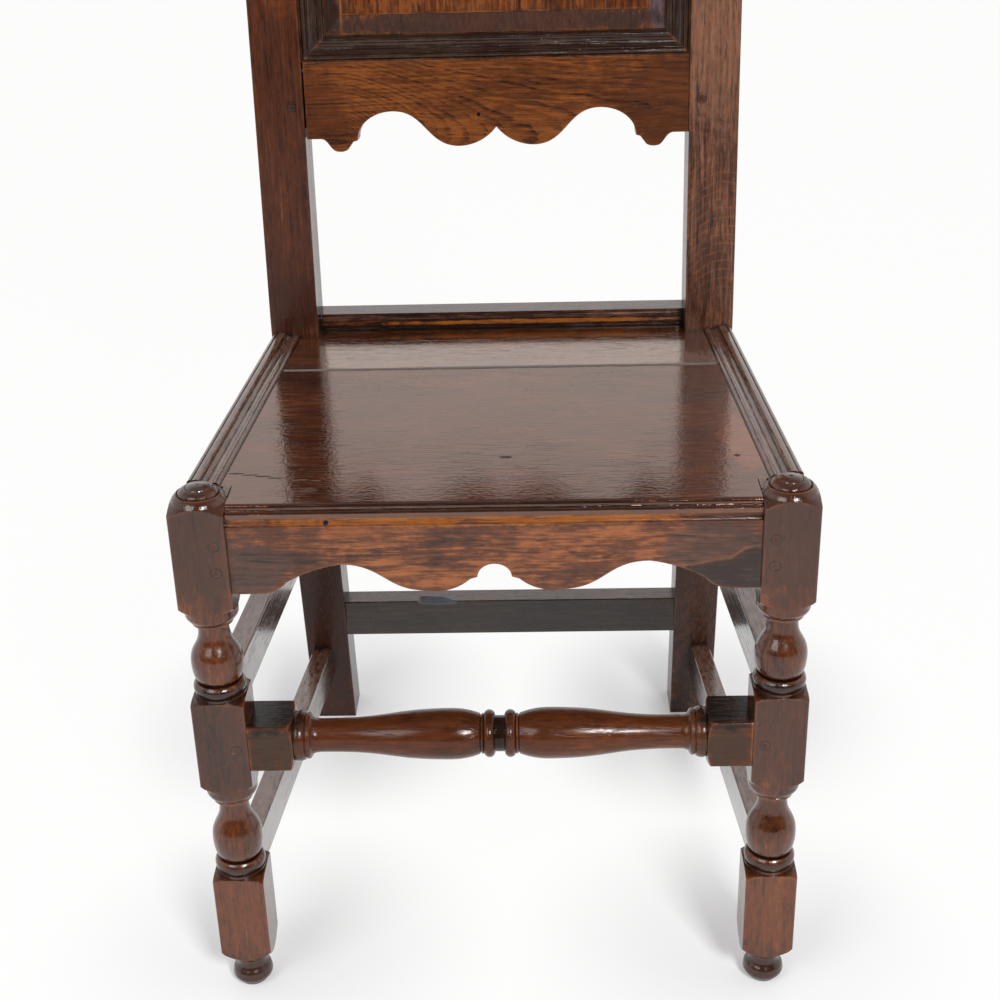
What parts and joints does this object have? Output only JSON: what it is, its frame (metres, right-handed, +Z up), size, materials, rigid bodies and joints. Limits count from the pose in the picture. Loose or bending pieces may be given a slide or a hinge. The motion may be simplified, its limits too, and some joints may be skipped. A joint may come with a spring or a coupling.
{
  "type": "wainscot chair",
  "caption": "Joined oak side chair with turned front legs, boarded seat in moulded rails, plain stretchers and a raked back with a fielded panel between scalloped rails.",
  "frame": {"origin": "on the floor, under the middle of the chair's box", "axes": "+Z up, +X to the sitter's left (the viewer's right from the front), +Y towards the back"},
  "size_m": [0.48, 0.47, 1.086],
  "materials": {
    "turned_oak": "dark waxed oak, turned, glossy on the beads, orange where worn",
    "frame_oak": "dark waxed oak, flat faces with open grain",
    "moulded_oak": "dark waxed oak mouldings with dark wax in the quirks",
    "back_oak": "waxed oak with arched grain, a warmer brown",
    "panel_oak": "waxed oak with upright grain, orange brown with a darker bevel",
    "seat_oak": "polished dark oak, worn smooth and reflective",
    "mended_oak": "dull dark oak of a glued repair",
    "peg_oak": "end grain of oak pegs, dark"
  },
  "bodies": {
    "root": {"front_leg_left": "turned_oak", "front_leg_right": "turned_oak", "rear_stile_left": "frame_oak", "rear_stile_right": "frame_oak", "front_seat_rail": "frame_oak", "apron_patch": "mended_oak", "side_seat_rail_left": "moulded_oak", "side_seat_rail_right": "moulded_oak", "back_seat_rail": "moulded_oak", "front_stretcher": "turned_oak", "upper_side_stretcher_left": "frame_oak", "upper_side_stretcher_right": "frame_oak", "lower_side_stretcher_left": "frame_oak", "lower_side_stretcher_right": "frame_oak", "rear_stretcher": "frame_oak", "back_lower_rail": "back_oak", "back_crest_rail": "back_oak", "back_panel": "panel_oak", "panel_moulding_bottom": "moulded_oak", "panel_moulding_top": "moulded_oak", "panel_moulding_left": "moulded_oak", "panel_moulding_right": "moulded_oak", "seat_board_front": "seat_oak", "seat_board_rear": "seat_oak", "pegs_front": "peg_oak", "pegs_sides": "peg_oak", "pegs_rear": "peg_oak", "pegs_back_frame": "peg_oak"}
  },
  "joints": []
}
